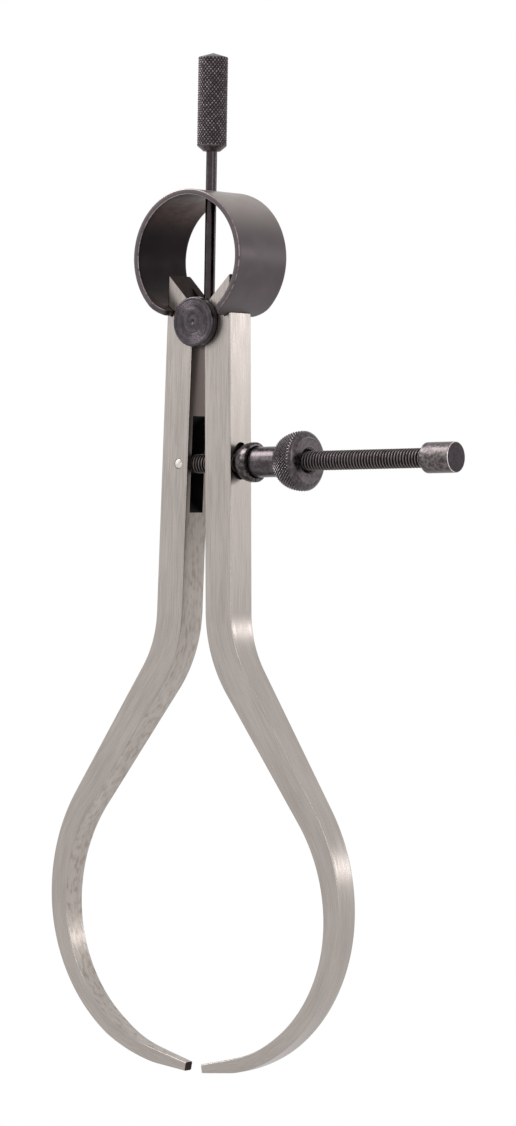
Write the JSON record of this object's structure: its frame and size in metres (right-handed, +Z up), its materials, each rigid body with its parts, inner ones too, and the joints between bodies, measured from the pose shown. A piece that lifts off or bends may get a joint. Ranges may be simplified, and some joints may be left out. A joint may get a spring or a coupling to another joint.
{
  "type": "outside caliper",
  "caption": "Outside spring caliper: bowed legs swing on a roller fulcrum, pushed apart by a bow spring and set by a knurled nut on a screw, with a knurled handle.",
  "frame": {"origin": "centre of the fulcrum roller, on the axis that both legs swing about", "axes": "+Z up the handle, -Z towards the tips, -Y the front face, +X the side of the adjusting nut"},
  "size_m": [0.0982, 0.0154, 0.2044],
  "materials": {
    "leg_steel": "ground, fine grain along the leg",
    "blued_steel": "blackened, satin",
    "turned_steel": "blackened, turned",
    "knurled_steel": "blackened, knurled",
    "bright_steel": "bright, polished end"
  },
  "bodies": {
    "head": {"fulcrum_roller": "turned_steel", "handle_stem": "turned_steel", "handle_grip": "knurled_steel", "bow_spring": "blued_steel"},
    "left_leg": {"left_leg": "leg_steel", "screw_pivot_pin": "bright_steel"},
    "right_leg": {"right_leg": "leg_steel"},
    "screw": {"adjusting_screw": "blued_steel", "end_stop": "blued_steel"},
    "washer": {"seat_washer": "turned_steel"},
    "nut": {"adjusting_nut": "knurled_steel"}
  },
  "joints": [
    {"name": "left_leg_swing", "type": "hinge", "parent": "head", "child": "left_leg", "pos_m": [0, 0, 0], "axis": [0, 1, 0], "range_deg": [-0.8, 29.8], "deforming": ["bow_spring"]},
    {"name": "right_leg_swing", "type": "hinge", "parent": "head", "child": "right_leg", "pos_m": [0, 0, 0], "axis": [0, -1, 0], "range_deg": [-0.8, 29.8]},
    {"name": "screw_pivot", "type": "hinge", "parent": "left_leg", "child": "screw", "pos_m": [-0.00445, 0, -0.02839], "axis": [0, -1, 0], "range_deg": [-0.9, 34.2]},
    {"name": "washer_slide", "type": "slide", "parent": "screw", "child": "washer", "axis": [0.9995, 0, 0.0332], "range_m": [-0.00064, 0.02675]},
    {"name": "nut_spin", "type": "hinge", "parent": "washer", "child": "nut", "pos_m": [-0.00445, 0, -0.02839], "axis": [0.9995, 0, 0.0332], "range_deg": [-332, 13761]}
  ],
  "couplings": [
    {"joint": "nut_spin", "follows": "washer_slide", "rad_per_m": 8976},
    {"joint": "left_leg_swing", "follows": "washer_slide", "rad_per_m": 19.242},
    {"joint": "right_leg_swing", "follows": "washer_slide", "rad_per_m": 19.242},
    {"joint": "screw_pivot", "follows": "washer_slide", "rad_per_m": 22.032}
  ]
}
